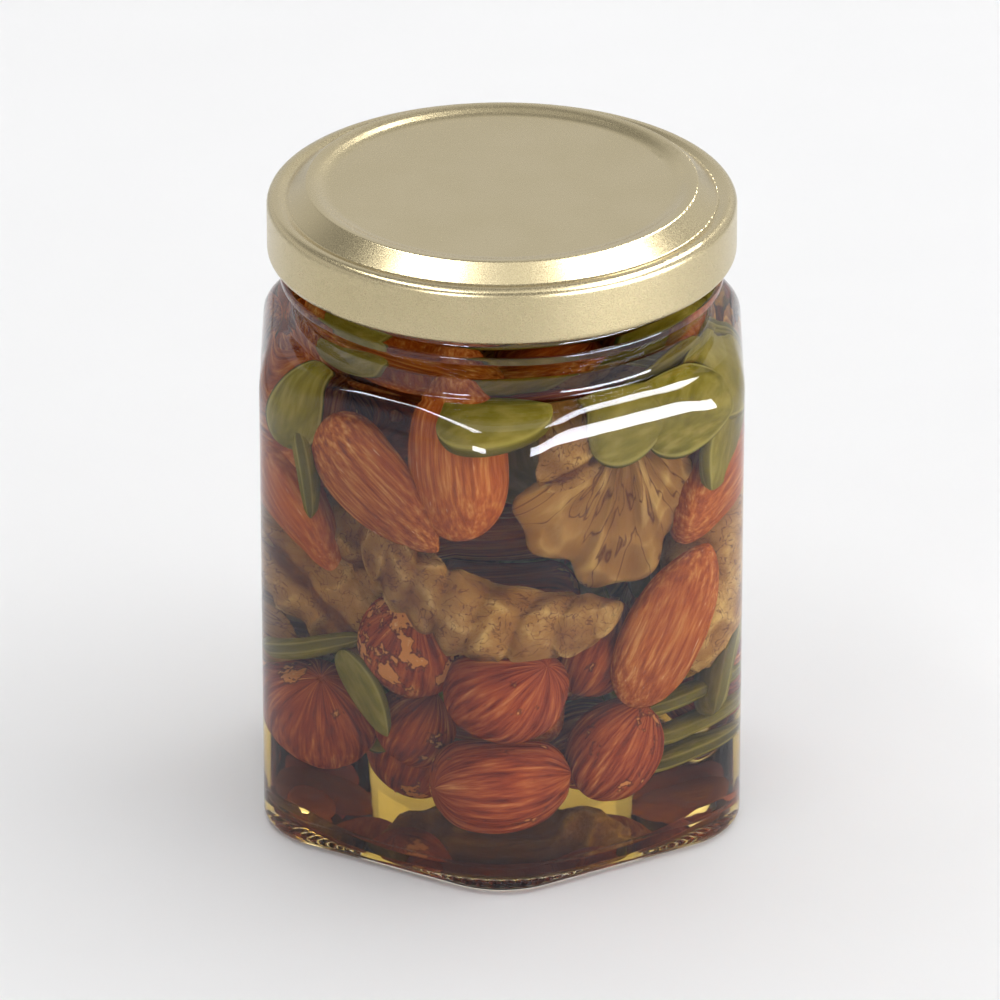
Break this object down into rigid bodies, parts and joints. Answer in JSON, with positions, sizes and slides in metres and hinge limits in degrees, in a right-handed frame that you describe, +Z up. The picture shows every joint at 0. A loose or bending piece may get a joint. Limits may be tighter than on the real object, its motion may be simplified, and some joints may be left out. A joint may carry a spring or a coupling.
{
  "type": "honey jar",
  "caption": "Hexagonal glass jar of almonds, hazelnuts, walnuts and pumpkin seeds in clear honey, shut with a satin gold twist-off lid.",
  "frame": {"origin": "middle of the base, on the plane the jar stands on", "axes": "+Z up along the jar's axis; one corner of the hexagon points to -Y and two flat faces point to +X and -X"},
  "size_m": [0.063, 0.069, 0.0865],
  "materials": {
    "glass": "clear polished soda-lime glass",
    "lid_metal": "satin gold lacquer on tinplate",
    "honey": "clear amber honey"
  },
  "bodies": {
    "root": {"jar": "glass", "lid": "lid_metal", "honey": "honey"}
  },
  "joints": []
}
